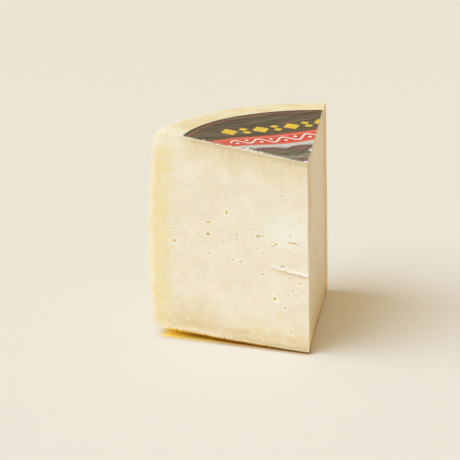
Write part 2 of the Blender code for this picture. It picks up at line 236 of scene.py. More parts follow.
# The light: a warm even sky, and a cooler soft key from the left
SKY_COLOUR = (1.0, 0.845, 0.575, 1.0)
SKY_STRENGTH = 0.63
KEY_AZIMUTH = math.radians(-103.0)
KEY_ELEVATION = math.radians(49.5)
KEY_STRENGTH = 2.70
KEY_COLOUR = (0.64, 0.815, 1.075)
KEY_BREADTH = math.radians(56.0)
GROUND_SIZE = 8.0


# ---------------------------------------------------------------- modelling helpers


def deselect_all():
    if bpy.context.mode != "OBJECT":
        bpy.ops.object.mode_set(mode="OBJECT")
    bpy.ops.object.select_all(action="DESELECT")


def pick(obj):
    """Makes obj the only selected object and the active one."""
    deselect_all()
    obj.select_set(True)
    bpy.context.view_layer.objects.active = obj


def new_piece(name):
    """Names the primitive that was just added."""
    obj = bpy.context.active_object
    obj.name = obj.data.name = name
    return obj


def settle(obj):
    """Leaves the object at the origin, with its place in its mesh."""
    pick(obj)
    bpy.ops.object.transform_apply(location=True, rotation=True, scale=True)
    return obj


def select(obj, kind, wanted):
    """In edit mode on obj, with only those of its faces or edges selected that wanted picks."""
    pick(obj)
    bpy.ops.object.mode_set(mode="EDIT")
    bpy.ops.mesh.select_mode(type=kind)
    bpy.ops.mesh.select_all(action="DESELECT")
    bpy.ops.object.mode_set(mode="OBJECT")
    for item in {"FACE": obj.data.polygons, "EDGE": obj.data.edges}[kind]:
        item.select = wanted(item)
    bpy.ops.object.mode_set(mode="EDIT")


def edit_all(obj):
    """In edit mode on obj, with all of it selected."""
    pick(obj)
    bpy.ops.object.mode_set(mode="EDIT")
    bpy.ops.mesh.select_all(action="SELECT")


def end_heights(obj, edge):
    """How high an edge's lower and upper ends are."""
    return sorted(obj.data.vertices[number].co.z for number in edge.vertices)


def move_vertices(obj, moved):
    for vertex in obj.data.vertices:
        vertex.co = moved(vertex.co.copy())
    obj.data.update()


def apply_modifier(obj, kind, **settings):
    pick(obj)
    modifier = obj.modifiers.new(kind.lower(), kind)
    for name, value in settings.items():
        setattr(modifier, name, value)
    bpy.ops.object.modifier_apply(modifier=modifier.name)


def face_outward(obj):
    edit_all(obj)
    bpy.ops.mesh.normals_make_consistent(inside=False)
    bpy.ops.object.mode_set(mode="OBJECT")
    return obj


def join(objects, name):
    deselect_all()
    for obj in objects:
        obj.select_set(True)
    bpy.context.view_layer.objects.active = objects[0]
    bpy.ops.object.join()
    return new_piece(name)


# ---------------------------------------------------------------- the wheel's form


def flat(point):
    return Vector((point.x, point.y, 0.0))


def side_radius(height):
    return WHEEL_RADIUS - (height - BULGE_HEIGHT) ** 2 / (2 * BARREL_RADIUS)


def dish_height(radius):
    return DISH_EDGE_HEIGHT - DISH_SLOPE * (LABEL_RADIUS - radius)


def cut_axes(side):
    """The cut's directions: away from the point, up the leaning edge, and out of the wedge."""
    sign = -1 if side == "left" else 1
    along = Vector((sign * math.sin(HALF_ANGLE), math.cos(HALF_ANGLE), 0.0))
    up = (POINT_AT_TOP - POINT_AT_FOOT) / (POINT_AT_TOP.z - POINT_AT_FOOT.z)
    outward = (along.cross(up) * sign).normalized()
    return along, up, outward


def on_cut(side, reach, rise):
    along, up, _ = cut_axes(side)
    return POINT_AT_FOOT + along * reach + up * rise


def outside_rest(point):
    """How far a point is outside the flat triangle that the wedge rests on; inside it, 0."""
    foot = side_radius(FOOT_ROUNDING) - FOOT_ROUNDING
    corners = []
    for ring, degrees in REST_CORNERS:
        angle = math.radians(degrees)
        corners.append(Vector((math.cos(angle), math.sin(angle))) * foot * ring / FOOT_RINGS)
    distance = 0.0
    for start, end in zip(corners, corners[1:] + corners[:1]):
        edge = (end - start).normalized()
        distance = max(distance, (point.xy - start).dot(Vector((edge.y, -edge.x))))
    return distance


def underside_rise(point):
    """How far the underside is lifted at a point: most at the left cut's outer end."""
    along, _, outward = cut_axes("left")
    from_foot = point - POINT_AT_FOOT
    reach = max(0.0, from_foot.dot(along) - LIFT_START)
    inward = max(0.0, -from_foot.dot(outward))
    rise = CURL_RISE * (reach / (CURL_REACH - LIFT_START)) ** 2 * max(0.0, 1 - inward / CURL_WIDTH)
    rise += REST_SLOPE * outside_rest(point)
    return rise * max(0.0, 1 - point.z / CURL_DEPTH)


def rind_wave(point):
    ends = point.z > TOP_ZONE or point.z < FOOT_ROUNDING
    return RIND_WAVE_DEPTH * noise.noise((flat(point) if ends else point) / RIND_WAVE_LENGTH)


def unevenly(point):
    """Where the hand-made wheel's skin really is, from where a true turned one would be."""
    wave = rind_wave(point)
    moved = point.copy()
    if point.z > FOOT_ROUNDING:
        moved += flat(point) / WHEEL_RADIUS * wave
    if point.z > TOP_ZONE:
        moved.z += wave
    moved.z += underside_rise(point)
    return moved


def make_wheel():
    """The whole wheel, round the Z axis."""
    bpy.ops.mesh.primitive_cylinder_add(
        vertices=TURN_STEPS, radius=WHEEL_RADIUS, depth=WHEEL_HEIGHT, location=(0, 0, WHEEL_HEIGHT / 2)
    )
    wheel = settle(new_piece("cheese"))

    def upright(edge):
        low, high = end_heights(wheel, edge)
        return high - low > WHEEL_HEIGHT / 2

    select(wheel, "EDGE", upright)
    bpy.ops.mesh.subdivide(number_cuts=SIDE_RINGS)
    bpy.ops.object.mode_set(mode="OBJECT")
    move_vertices(wheel, lambda p: flat(p).normalized() * side_radius(p.z) + Vector((0, 0, p.z)))
    for height, rounding in ((WHEEL_HEIGHT, RIM_ROUNDING), (0.0, FOOT_ROUNDING)):
        select(wheel, "EDGE", lambda edge: all(abs(z - height) < SNAP for z in end_heights(wheel, edge)))
        bpy.ops.mesh.bevel(offset=rounding, segments=EDGE_STEPS, profile=0.5)
    ring_end(wheel, up=1)
    ring_end(wheel, up=-1)
    move_vertices(wheel, unevenly)
    return wheel


def ring_end(wheel, up):
    """Gives the wheel's top (up 1) or underside (up -1) rings, and dishes the top."""
    height = WHEEL_HEIGHT if up > 0 else 0.0
    select(wheel, "FACE", lambda face: abs(face.center.z - height) < SNAP)
    bpy.ops.object.mode_set(mode="OBJECT")
    outer = max(flat(v.co).length for v in wheel.data.vertices if abs(v.co.z - height) < SNAP)
    bpy.ops.object.mode_set(mode="EDIT")
    bpy.ops.mesh.inset(thickness=outer - MARGIN_INNER_RADIUS)
    for _ in range(END_RINGS - 1):
        bpy.ops.mesh.inset(thickness=MARGIN_INNER_RADIUS / END_RINGS)
    bpy.ops.mesh.poke()
    bpy.ops.object.mode_set(mode="OBJECT")
    if up < 0:
        return
    for vertex in wheel.data.vertices:
        radius = flat(vertex.co).length
        if vertex.co.z > height - SNAP and radius < MARGIN_INNER_RADIUS + SNAP:
            vertex.co.z = dish_height(radius)


def cut_roughly(obj, fill=True):
    """Takes away most of a round piece, to a little outside the wedge's two cuts."""
    for side in SIDES:
        outward = cut_axes(side)[2]
        edit_all(obj)
        outside = POINT_AT_FOOT + outward * ROUGH_CUT
        bpy.ops.mesh.bisect(plane_co=outside, plane_no=outward, use_fill=fill, clear_outer=True)
        bpy.ops.object.mode_set(mode="OBJECT")


def dented(point):
    """The small dents of the rind. The underside keeps its height."""
    dent = RIND_DENT_DEPTH * noise.fractal(point / RIND_DENT_LENGTH, 0.7, 2.0, 3)
    moved = point + flat(point) / WHEEL_RADIUS * dent
    if point.z > TOP_ZONE:
        moved.z += dent
    return moved


def knife_block(side, cells, relief):
    """A block to cut with, whose inner face is the cut; relief(reach, rise) stands out from the plane."""
    outward = cut_axes(side)[2]
    columns, rows = cells
    bpy.ops.mesh.primitive_grid_add(x_subdivisions=columns, y_subdivisions=rows, size=1.0)
    block = new_piece("knife_block")

    def on_relief(p):
        reach = CUT_REACH[0] + (p.x + 0.5) * (CUT_REACH[1] - CUT_REACH[0])
        rise = CUT_RISE[0] + (p.y + 0.5) * (CUT_RISE[1] - CUT_RISE[0])
        return on_cut(side, reach, rise) + outward * relief(reach, rise)

    move_vertices(block, on_relief)
    edit_all(block)
    bpy.ops.mesh.extrude_region_move(TRANSFORM_OT_translate={"value": outward * CUT_BLOCK})
    return face_outward(block)


def cells_of(size):
    return (
        round((CUT_REACH[1] - CUT_REACH[0]) / size),
        round((CUT_RISE[1] - CUT_RISE[0]) / size),
    )


def cut_away(obj, cutter):
    apply_modifier(obj, "BOOLEAN", operation="DIFFERENCE", solver="MANIFOLD", object=cutter)
    bpy.data.objects.remove(cutter)


# ---------------------------------------------------------------- the small hollows


def strewn(draw, low, high):
    step = (high - low) / CHIPS_AN_EDGE
    return [low + step * (i + draw.uniform(*CHIP_PLACE)) for i in range(CHIPS_AN_EDGE)]


def top_edge_rise(side, reach):
    along, up, _ = cut_axes(side)
    return dish_height(flat(POINT_AT_TOP + along * reach).length) / up.z


def scattered_eyes(side, placed):
    draw = random.Random(EYE_SEED[side])
    (near, far), (low, high) = EYE_ZONE
    taken = [(reach, rise) for reach, rise, _, _ in placed]
    small = []
    while len(small) < SMALL_EYES[side]:
        reach, rise = draw.uniform(near, far), draw.uniform(low, high)
        if all(math.dist((reach, rise), other) > EYE_SPACING for other in taken):
            width = draw.uniform(*SMALL_EYE_WIDTH)
            small.append((reach, rise, width, width * draw.uniform(*SMALL_EYE_SHAPE[side])))
            taken.append((reach, rise))
    return small


def edge_chips(side):
    draw = random.Random(CHIP_SEED[side])
    spots = [(reach, top_edge_rise(side, reach)) for reach in strewn(draw, *CHIP_REACH)]
    for reach in strewn(draw, *CHIP_REACH):
        spots.append((reach, underside_rise(on_cut(side, reach, 0.0)) + FOOT_CHIP_RISE))
    return [spot + (draw.uniform(*CHIP_SIZE), draw.uniform(*CHIP_SIZE)) for spot in spots]


def in_metres(eyes):
    return [tuple(v * MM for v in eye) for eye in eyes]


def eyes_of(side):
    placed = in_metres(LEFT_EYES if side == "left" else RIGHT_EYES)
    return placed + scattered_eyes(side, placed)


def make_lumps(name, side, spots, unevenness, seed):
    """Uneven lumps by a cut, as one mesh.

    Each spot is a middle, the half widths along, up and out of the cut, and whether it is a big one.
    """
    amount, lumps = unevenness
    balls = {}
    for big, detail in BALL_DETAIL.items():
        bpy.ops.mesh.primitive_ico_sphere_add(subdivisions=detail, radius=1.0)
        balls[big] = new_piece("ball")
    copies = []
    for number, (middle, halves, big) in enumerate(spots):
        frame = Matrix.Translation(middle)
        for column, (axis, half) in enumerate(zip(cut_axes(side), halves)):
            frame.col[column][:3] = axis * half
        copy = bpy.data.objects.new("lump", balls[big].data.copy())
        bpy.context.scene.collection.objects.link(copy)
        for vertex in copy.data.vertices:
            uneven = 1 + amount * noise.noise(vertex.co * lumps + Vector((number, seed, 0.0)))
            vertex.co = frame @ (vertex.co * uneven)
        copies.append(copy)
    for ball in balls.values():
        bpy.data.objects.remove(ball)
    return face_outward(join(copies, name))


def make_hollows(side, eyes):
    """Uneven pips set in the cut, one for each eye and each chip at the edges."""
    spots = []
    for reach, rise, width, height in eyes:
        halves = (width / 2, height / 2, (width + height) / 4 * EYE_SHALLOWNESS)
        spots.append((on_cut(side, reach, rise), halves, max(width, height) > BIG_EYE))
    return make_lumps("hollows_" + side, side, spots, EYE_UNEVENNESS, 0.0)


def make_flake_scar():
    """A shallow wedge to cut with: deep under its ragged upper lip, running out below it."""
    along, up, outward = cut_axes("left")
    turn = Matrix.Rotation(FLAKE_TILT, 3, outward)
    lip = on_cut("left", *FLAKE_AT)
    along, up = turn @ along, turn @ up
    bpy.ops.mesh.primitive_cube_add(size=1.0)
    scar = new_piece("flake_scar")
    edit_all(scar)
    bpy.ops.mesh.subdivide(number_cuts=FLAKE_CELLS)
    bpy.ops.object.mode_set(mode="OBJECT")

    def moved(p):
        reach = p.x * FLAKE_LENGTH
        fall = (0.5 - p.z) * FLAKE_FALL
        taper = 1 - (2 * p.x) ** 2 - fall / FLAKE_FALL
        ragged = FLAKE_RAG_DEPTH * noise.noise(Vector((reach / FLAKE_RAG_LENGTH, 0.0, 0.0)))
        grain = noise.noise(Vector((reach, fall, 0.0)) / FLAKE_GRAIN_LENGTH)
        grain *= FLAKE_GRAIN * max(0.0, taper)
        depth = FLAKE_CLEARANCE - (FLAKE_STEP + FLAKE_CLEARANCE) * (taper + grain) + (p.y + 0.5) * FLAKE_BLOCK
        return lip + along * reach + up * (ragged - fall) + outward * depth

    move_vertices(scar, moved)
    return face_outward(scar)


# ---------------------------------------------------------------- the cheese


def by_lip(reach, rise):
    """How far a spot of the left cut is over the flake's lip, and 1 at the lip's middle to 0 at its ends."""
    along = reach - FLAKE_AT[0]
    over_lip = rise - FLAKE_AT[1] + math.tan(FLAKE_TILT) * along
    return over_lip, max(0.0, 1 - (2 * along / FLAKE_LENGTH) ** 2)


def lip_swell(reach, rise):
    """The paste stands out over the flake's lip, as the break pulled it."""
    over_lip, middle = by_lip(reach, rise)
    return LIP_SWELL * middle * math.exp(-over_lip / LIP_SWELL_REACH) if over_lip > 0 else 0.0


def cut_relief(side, reach, rise):
    """How far the cut stands out from its plane: the knife's waves and drag marks, and the paste's grain."""
    place = Vector((reach, rise, WAVE_SEED[side]))
    drag = Vector((reach / DRAG_LENGTH[0], rise / DRAG_LENGTH[1], WAVE_SEED[side]))
    from_foot = rise - underside_rise(on_cut(side, reach, 0.0))
    from_edge = max(0.0, min(from_foot, top_edge_rise(side, reach) - rise))
    crumble = CRUMBLE_DEPTH * (1 + EDGE_CRUMBLE * math.exp(-from_edge / EDGE_CRUMBLE_REACH))
    relief = CUT_WAVE_DEPTH * noise.noise(place / CUT_WAVE_LENGTH)
    relief += DRAG_DEPTH[side] * noise.noise(drag)
    relief += crumble * noise.fractal(place / CRUMBLE_LENGTH, 0.6, 2.0, 3)
    return relief + (lip_swell(reach, rise) if side == "left" else 0.0)


def mark_eyes(points, marks):
    """How deep in an eye each vertex is and how near to one, and the amber eye."""
    for side in SIDES:
        along, up, outward = cut_axes(side)
        rise = points[:, 2] / up.z
        reach = (points - np.outer(rise, up)) @ np.array(along)
        inward = -(points @ np.array(outward))
        near = np.flatnonzero(inward < NEAR_CUT)
        depth = np.array([inward[i] + cut_relief(side, reach[i], rise[i]) for i in near])
        deep = np.clip((depth - EYE_SHALLOWS) / (EYE_DEEPS - EYE_SHALLOWS), 0, 1)
        eyes = eyes_of(side) + (in_metres(LEFT_SPECKS) if side == "left" else [])
        closest = np.full(len(near), np.inf)
        for number, (at, height, wide, high) in enumerate(eyes):
            apart = np.hypot((reach[near] - at) / wide, (rise[near] - height) / high) * 2
            closest = np.minimum(closest, apart)
            if side == "left" and number == AMBER_EYE:
                marks["amber"][near] = (apart < EYE_LINED) * deep
        marks["lining"][near] = np.maximum(marks["lining"][near], deep * (closest < EYE_LINED))
        around = np.clip((EYE_HALO[0] - closest) / (EYE_HALO[0] - EYE_HALO[1]), 0, 1)
        marks["halo"][near] = np.maximum(marks["halo"][near], around * (1 - deep))


def mark_lip_highlight_and_shade(points, marks):
    """Where the painted highlight over the flake's lip is, a pale strip, and the painted shade under it, a
    tan line.
    """
    along, up, outward = cut_axes("left")
    for i in np.flatnonzero(-(points @ np.array(outward)) < NEAR_CUT):
        rise = points[i, 2] / up.z
        reach = (Vector(points[i]) - up * rise).dot(along)
        over_lip, middle = by_lip(reach, rise)
        if over_lip >= 0:
            marks["lip"][i] = middle * math.exp(-((over_lip / LIP_HIGHLIGHT_REACH) ** 2))
        else:
            marks["scar"][i] = min(1.0, LIP_SHADE_FULLNESS * middle) * math.exp(-((over_lip / LIP_SHADE_REACH) ** 2))


def mark_paste(cheese):
    """Stores for the material, at each vertex, what it can't tell from the place alone."""
    mesh = cheese.data
    points = np.empty(len(mesh.vertices) * 3)
    mesh.vertices.foreach_get("co", points)
    points = points.reshape(-1, 3)
    marks = {name: np.zeros(len(points)) for name in MARKS}
    mark_eyes(points - np.array(POINT_AT_FOOT), marks)
    mark_lip_highlight_and_shade(points - np.array(POINT_AT_FOOT), marks)
    marks["foot"][:] = FOOT_ZONE / MM
    for i in np.flatnonzero(points[:, 2] < FOOT_ZONE):
        underside = underside_rise(Vector((points[i, 0], points[i, 1], 0.0)))
        marks["foot"][i] = (points[i, 2] - underside) / MM
    for name, values in marks.items():
        mesh.attributes.new(name, "FLOAT", "POINT").data.foreach_set("value", values)


def make_cheese():
    cheese = make_wheel()
    cut_roughly(cheese)
    apply_modifier(cheese, "REMESH", mode="VOXEL", voxel_size=RIND_VOXEL, adaptivity=0.0)
    apply_modifier(cheese, "SMOOTH", **RIND_SMOOTHING)
    move_vertices(cheese, dented)
    for side in SIDES:
        cut_away(cheese, knife_block(side, cells_of(CUT_CELL), lambda r, z: cut_relief(side, r, z)))
    cut_away(cheese, make_flake_scar())
    for side in SIDES:
        cut_away(cheese, make_hollows(side, eyes_of(side) + edge_chips(side)))
    cut_away(cheese, make_hollows("left", in_metres(LEFT_SPECKS)))
    mark_paste(cheese)
    pick(cheese)
    bpy.ops.object.shade_smooth_by_angle(angle=CHEESE_SHARP_ANGLE)
    return cheese


# ---------------------------------------------------------------- crumbs and fibres


def shaped(draw, half, shape):
    """The three half widths of a crumb or fibre."""
    along, up, outward = shape
    return half * draw.uniform(*along), half * draw.uniform(*up), half * outward


def make_crumbs():
    draw = random.Random(CRUMB_SEED)
    outward = cut_axes("left")[2]
    share = (CRUMB_REACH[1] - CRUMB_REACH[0]) / CRUMBS
    spots = []
    for number in range(CRUMBS):
        reach = CRUMB_REACH[0] + share * (number + draw.uniform(*CRUMB_PLACE))
        rise = underside_rise(on_cut("left", reach, 0.0)) + draw.uniform(*CRUMB_RISE)
        half = draw.uniform(*CRUMB_SIZE) / 2
        stand = cut_relief("left", reach, rise) + CRUMB_STAND * half
        spots.append((on_cut("left", reach, rise) + outward * stand, shaped(draw, half, CRUMB_SHAPE), False))
    return make_lumps("crumbs", "left", spots, BIT_UNEVENNESS, BIT_SEED)


def make_fibres():
    draw = random.Random(FIBRE_SEED)
    outward = cut_axes("left")[2]
    spots = []
    for reach, size in in_metres(FIBRES):
        half = size / 2
        middle = on_cut("left", reach, top_edge_rise("left", reach)) - outward * half * FIBRE_SINK
        middle.z += LABEL_LIFT
        spots.append((middle, shaped(draw, half, FIBRE_SHAPE), False))
    return make_lumps("label_fibres", "left", spots, BIT_UNEVENNESS, BIT_SEED)


# ---------------------------------------------------------------- the label


def tear(side, reach):
    """How far inside the cut the paper's torn edge is, this far from the point."""
    ragged = noise.fractal(Vector((reach / TEAR_LENGTH, 0.0, TEAR_SEED[side])), 0.8, 2.0, 4)
    return TEAR_DEPTH[side] * (0.5 + 0.5 * ragged)


def make_label():
    bpy.ops.mesh.primitive_circle_add(vertices=TURN_STEPS, radius=LABEL_RADIUS, fill_type="NGON")
    label = new_piece("label_sheet")
    select(label, "FACE", lambda face: True)
    for _ in range(LABEL_RINGS - 1):
        bpy.ops.mesh.inset(thickness=LABEL_RADIUS / LABEL_RINGS)
    bpy.ops.mesh.poke()
    bpy.ops.mesh.select_all(action="SELECT")
    bpy.ops.mesh.subdivide(number_cuts=2)
    bpy.ops.object.mode_set(mode="OBJECT")

    def laid(p):
        p.z = dish_height(flat(p).length)
        p.z += rind_wave(p) + LABEL_LIFT
        return p

    move_vertices(label, laid)
    cut_roughly(label, fill=False)
    apply_modifier(label, "SOLIDIFY", thickness=PAPER_THICKNESS, offset=1.0)
    columns = cells_of(TEAR_CELL)[0]
    for side in SIDES:
        cut_away(label, knife_block(side, (columns, 2), lambda r, z: -tear(side, r)))
    pick(label)
    bpy.ops.object.shade_smooth_by_angle(angle=LABEL_SHARP_ANGLE)
    return label


# ---------------------------------------------------------------- colours and print


def srgb(red, green, blue):
    """A colour given as it shows on a screen, 0 to 255, as linear light."""
    linear = [((c / 255 + 0.055) / 1.055) ** 2.4 if c > 10 else c / 255 / 12.92 for c in (red, green, blue)]
    return (*linear, 1.0)


PASTE_CREAM = srgb(247, 238, 218)
PASTE_SHADED = srgb(244, 232, 208)
PASTE_CLOUD = srgb(239, 227, 206)
PASTE_BAND = srgb(246, 228, 174)
PASTE_OUTERMOST = srgb(252, 244, 216)
PASTE_LOW = srgb(239, 219, 172)
PASTE_STAIN = srgb(230, 206, 152)
PASTE_HIGH = srgb(236, 220, 180)
PASTE_SMEAR = srgb(218, 194, 150)
PASTE_DRAG = srgb(232, 216, 184)
PASTE_FLECK = srgb(250, 243, 226)
PASTE_PORE = srgb(212, 192, 128)
LINING_OCHRE_AND_PAINTED_SHADE = srgb(240, 217, 144)
LINING_OLIVE_AND_PAINTED_SHADE = srgb(230, 214, 152)
LINING_AMBER = srgb(250, 206, 40)
RIND_PALE = srgb(246, 233, 194)
RIND_DEEP = srgb(238, 219, 172)
RIND_BROWN = srgb(218, 190, 134)
RIND_SIDE = srgb(240, 222, 176)
RIND_PIT = srgb(186, 150, 96)
RIND_CORNER = srgb(253, 245, 219)
FOOT_PAINTED_GLOW_AND_SHADE = srgb(200, 148, 20)  # painted glow and painted shade on the underside and the cut's foot by the left cut, as the two below
OUTER_FOOT_PAINTED_GLOW = srgb(252, 214, 60)
POINT_FOOT_PAINTED_SHADE = srgb(134, 88, 14)
PASTE_FOOT_STRIP = srgb(247, 236, 208)
PASTE_FOOT_TAN = srgb(226, 203, 152)
PASTE_TOP_CORNER = srgb(251, 243, 220)
PASTE_STREAK = srgb(218, 196, 148)
# paler paste, and the painted highlight over the flake's lip
PASTE_PALE_AND_PAINTED_HIGHLIGHT = srgb(253, 249, 238)
PASTE_PAINTED_SHADE_UNDER_LIP = srgb(228, 204, 154)
PASTE_SLIVER_AND_PAINTED_SHADE = srgb(166, 138, 98)
RIGHT_PAINTED_SHADE = srgb(238, 222, 194)
RIGHT_BAND_AND_PAINTED_SHADE = srgb(220, 180, 116)
RIGHT_OUTER = srgb(240, 204, 138)
RIGHT_RIND = srgb(242, 208, 140)
RIGHT_LOW_PAINTED_SHADE = srgb(228, 203, 156)
RIGHT_EDGE = srgb(222, 192, 130)
INK_DARK = srgb(62, 51, 38)
INK_GREY = srgb(103, 88, 68)
INK_PALE = srgb(148, 134, 112)
INK_TERRACOTTA = srgb(148, 86, 68)
INK_RED = srgb(222, 84, 54)
INK_RED_DEEP = srgb(206, 68, 44)
INK_PINK = srgb(238, 160, 146)
INK_WHITE = srgb(246, 240, 230)
INK_YELLOW = srgb(240, 204, 60)
INK_YELLOW_DEEP = srgb(226, 180, 44)
INK_HAZE = srgb(206, 202, 196)
INK_HAZE_DARK = srgb(160, 150, 140)
INK_MAUVE = srgb(140, 98, 92)
INK_MAUVE_DARK = srgb(86, 66, 58)
INK_OLIVE = srgb(118, 112, 86)
INK_OLIVE_DARK = srgb(74, 70, 52)
GROUND_NEAR = srgb(232, 224, 210)
GROUND_FAR = srgb(231, 222, 204)
# painted glow and painted shadow on the floor, in and beside the gap under the left cut's foot
GROUND_EDGE_PAINTED_GLOW_AND_SHADOW = srgb(218, 182, 124)
GROUND_EDGE_PAINTED_SHADOW = srgb(174, 136, 88)
GROUND_GAP_PAINTED_GLOW = srgb(248, 212, 40)
GROUND_GAP_PAINTED_SHADOW = srgb(222, 160, 34)
PAINTED_GLOW_COLOUR = (1.0, 0.58, 0.05, 1.0)  # of the painted glow that the floor gives off, for the light let through the foot's outer end
PAINTED_GLOW_STRENGTH = 0.17
LINT_SHADED = srgb(226, 216, 200)
LINT_WHITE = srgb(250, 246, 238)
WANDER = 9.0  # of the edges of the cheese's tints, in millimetres from side to side
WEAVE_TURN = 4.4  # of the pressing cloth's weave, in radians a millimetre

# The print, in millimetres along (u) and across (v) its bands from the wheel's axis
RING_LINE = (53.9, 54.7)  # radii
YELLOW_ROW = {"start": -26.0, "pitch": 7.0, "middle": 38.1, "half": 3.6}
LOZENGE_HALF_WIDTH = 3.9
PAIR_HALF_WIDTH = 2.1  # of the small ones that stand in pairs
PAIR_HEIGHT = 0.46  # to the row's half height
RED_BAND = (21.6, 31.4)
RED_BORDERS = ((29.5, 30.0), (22.1, 22.4))
BAND_DROOP = (-20.0, -42.0, 0.0, 4.0)  # from where to where it droops, and from how much to how much
WAVE_LINE = {"start": -28.0, "pitch": 5.4, "middle": 26.3, "swing": 2.0, "half": 0.42}
WAVE_DOT_RADIUS = 0.75
WAVE_DOT_HEIGHT = 0.62  # of the dots from the line's middle, to its swing
STRIP = (19.0, 21.6)
HILLS = (  # each its top and its two colours
    (18.0, INK_MAUVE, INK_MAUVE_DARK),
    (14.5, INK_OLIVE, INK_OLIVE_DARK),
    (9.0, INK_HAZE_DARK, INK_OLIVE),
    (5.5, INK_MAUVE_DARK, INK_MAUVE),
)
HILL_SWING = (9.0, -5.0)  # of the even and the odd ones
PALE_PATCH = (3.0, 12.5, 3.2, 2.2)  # its middle and half widths
LINT_REACH = {"left": 1.21, "right": 0.44}  # how far the torn paper's white goes in past the tear


# ---------------------------------------------------------------- materials


class Output:
    """What a node gives out. Numbers can be added, subtracted, multiplied and divided."""

    def __init__(self, make, socket):
        self.make = make
        self.socket = socket

    def beside(self, output):
        """Another output of the same node."""
        return Output(self.make, self.socket.node.outputs[output])

    def __add__(self, other):
        return self.make.math("ADD", self, other)

    def __sub__(self, other):
        return self.make.math("SUBTRACT", self, other)

    def __rsub__(self, other):
        return self.make.math("SUBTRACT", other, self)

    def __mul__(self, other):
        return self.make.math("MULTIPLY", self, other)

    def __truediv__(self, other):
        return self.make.math("DIVIDE", self, other)

    def __abs__(self):
        return self.make.math("ABSOLUTE", self)


class Shading:
    """Adds nodes to one material, and hands back what they give out."""

    def __init__(self, name):
        self.material = bpy.data.materials.new(name)
        self.material.use_nodes = True
        self.tree = self.material.node_tree
        self.shader = self.tree.nodes["Principled BSDF"]

    def feed(self, socket, value):
        if isinstance(value, Output):
            self.tree.links.new(value.socket, socket)
        else:
            socket.default_value = value

    def node(self, kind, values, output=0, **settings):
        """What a new node gives out, with these settings and with values for its inputs."""
        made = self.tree.nodes.new(kind)
        for name, value in settings.items():
            setattr(made, name, value)
        for socket, value in dict(values).items():
            self.feed(made.inputs[socket], value)
        return Output(self, made.outputs[output])

    def finish(self, **values):
        for name, value in values.items():
            self.feed(self.shader.inputs[name.replace("_", " ").title().replace("Ior", "IOR")], value)
        return self.material

    def math(self, operation, *values):
        return self.node("ShaderNodeMath", enumerate(values), operation=operation)

    def between(self, operation, first, second):
        """A number from two vectors: their DISTANCE or their DOT_PRODUCT."""
        return self.node("ShaderNodeVectorMath", {0: first, 1: second}, "Value", operation=operation)

    def ramp(self, value, low, high, to_low=0.0, to_high=1.0):
        """value from low..high, smoothly and clamped, to to_low..to_high."""
        values = {0: value, 1: low, 2: high, 3: to_low, 4: to_high}
        return self.node("ShaderNodeMapRange", values, interpolation_type="SMOOTHSTEP")

    def band(self, value, low, high, soft=0.12):
        """1 where low < value < high."""
        return self.ramp(value, low - soft, low + soft) * self.ramp(value, high + soft, high - soft)

    def mix_value(self, share, first, second):
        """first where share is 0 and second where it is 1, for numbers."""
        return self.node("ShaderNodeMix", {0: share, 2: first, 3: second}, data_type="FLOAT")

    def mix(self, share, first, second):
        """first where share is 0 and second where it is 1, for colours."""
        return self.node("ShaderNodeMix", {0: share, 6: first, 7: second}, 2, data_type="RGBA")

    def layers(self, colour, *coats):
        """colour with coats over it in turn, each a share and a colour."""
        for share, coat in coats:
            colour = self.mix(share, colour, coat)
        return colour

    def place(self, offset=WHEEL_AXIS, turn=0.0, stretch=(1.0, 1.0, 1.0)):
        """Object coordinates from another origin, turned round Z, in millimetres, and stretched."""
        coordinates = self.node("ShaderNodeTexCoord", (), "Object")
        shifted = self.node("ShaderNodeVectorMath", {0: coordinates, 1: offset}, operation="SUBTRACT")
        values = {"Vector": shifted, "Rotation": (0, 0, -turn), "Scale": tuple(s / MM for s in stretch)}
        return self.node("ShaderNodeMapping", values, vector_type="POINT")

    def parts_of(self, vector):
        x = self.node("ShaderNodeSeparateXYZ", {0: vector})
        return x, x.beside(1), x.beside(2)

    def polar(self, x, y):
        """Distance from the wheel's axis, and the way round it in radians."""
        return self.math("SQRT", x * x + y * y), self.math("ARCTAN2", y, x)

    def depth_in(self, middle, side):
        """How far a place is inside a cut, in millimetres; middle is the place from the point's foot."""
        return self.between("DOT_PRODUCT", middle, tuple(-cut_axes(side)[2]))

    def noise(self, vector, scale, detail, roughness, distortion=0.0):
        values = {"Vector": vector, "Scale": scale, "Detail": detail, "Roughness": roughness}
        values["Distortion"] = distortion
        return self.node("ShaderNodeTexNoise", values)

    def streaks(self, stretch, detail, roughness, distortion=0.0, turn=0.0):
        """Noise in streaks, long in each direction in which stretch is small."""
        return self.noise(self.place(turn=turn, stretch=stretch), 1.0, detail, roughness, distortion)

    def spots(self, vector, scale, share, radius):
        """1 in the middle of scattered dots and 0 outside them; share of the cells have one."""
        distance = self.node("ShaderNodeTexVoronoi", {"Vector": vector, "Scale": scale}, "Distance")
        chance = self.parts_of(distance.beside("Color"))[0]
        return self.ramp(distance, radius, 0.45 * radius) * self.math("LESS_THAN", chance, share)

    def row(self, value, start, pitch):
        """Distance from the middle of the nearest motif in a row, and 1 for every other motif."""
        count = (value - start) / pitch
        across = abs((self.math("FRACT", count) - 0.5) * pitch)
        number = self.math("FLOOR", count)
        return across, number - self.math("FLOOR", number / 2.0) * 2.0

    def bump(self, height, depth, strength):
        return self.node("ShaderNodeBump", {"Height": height, "Distance": depth, "Strength": strength})


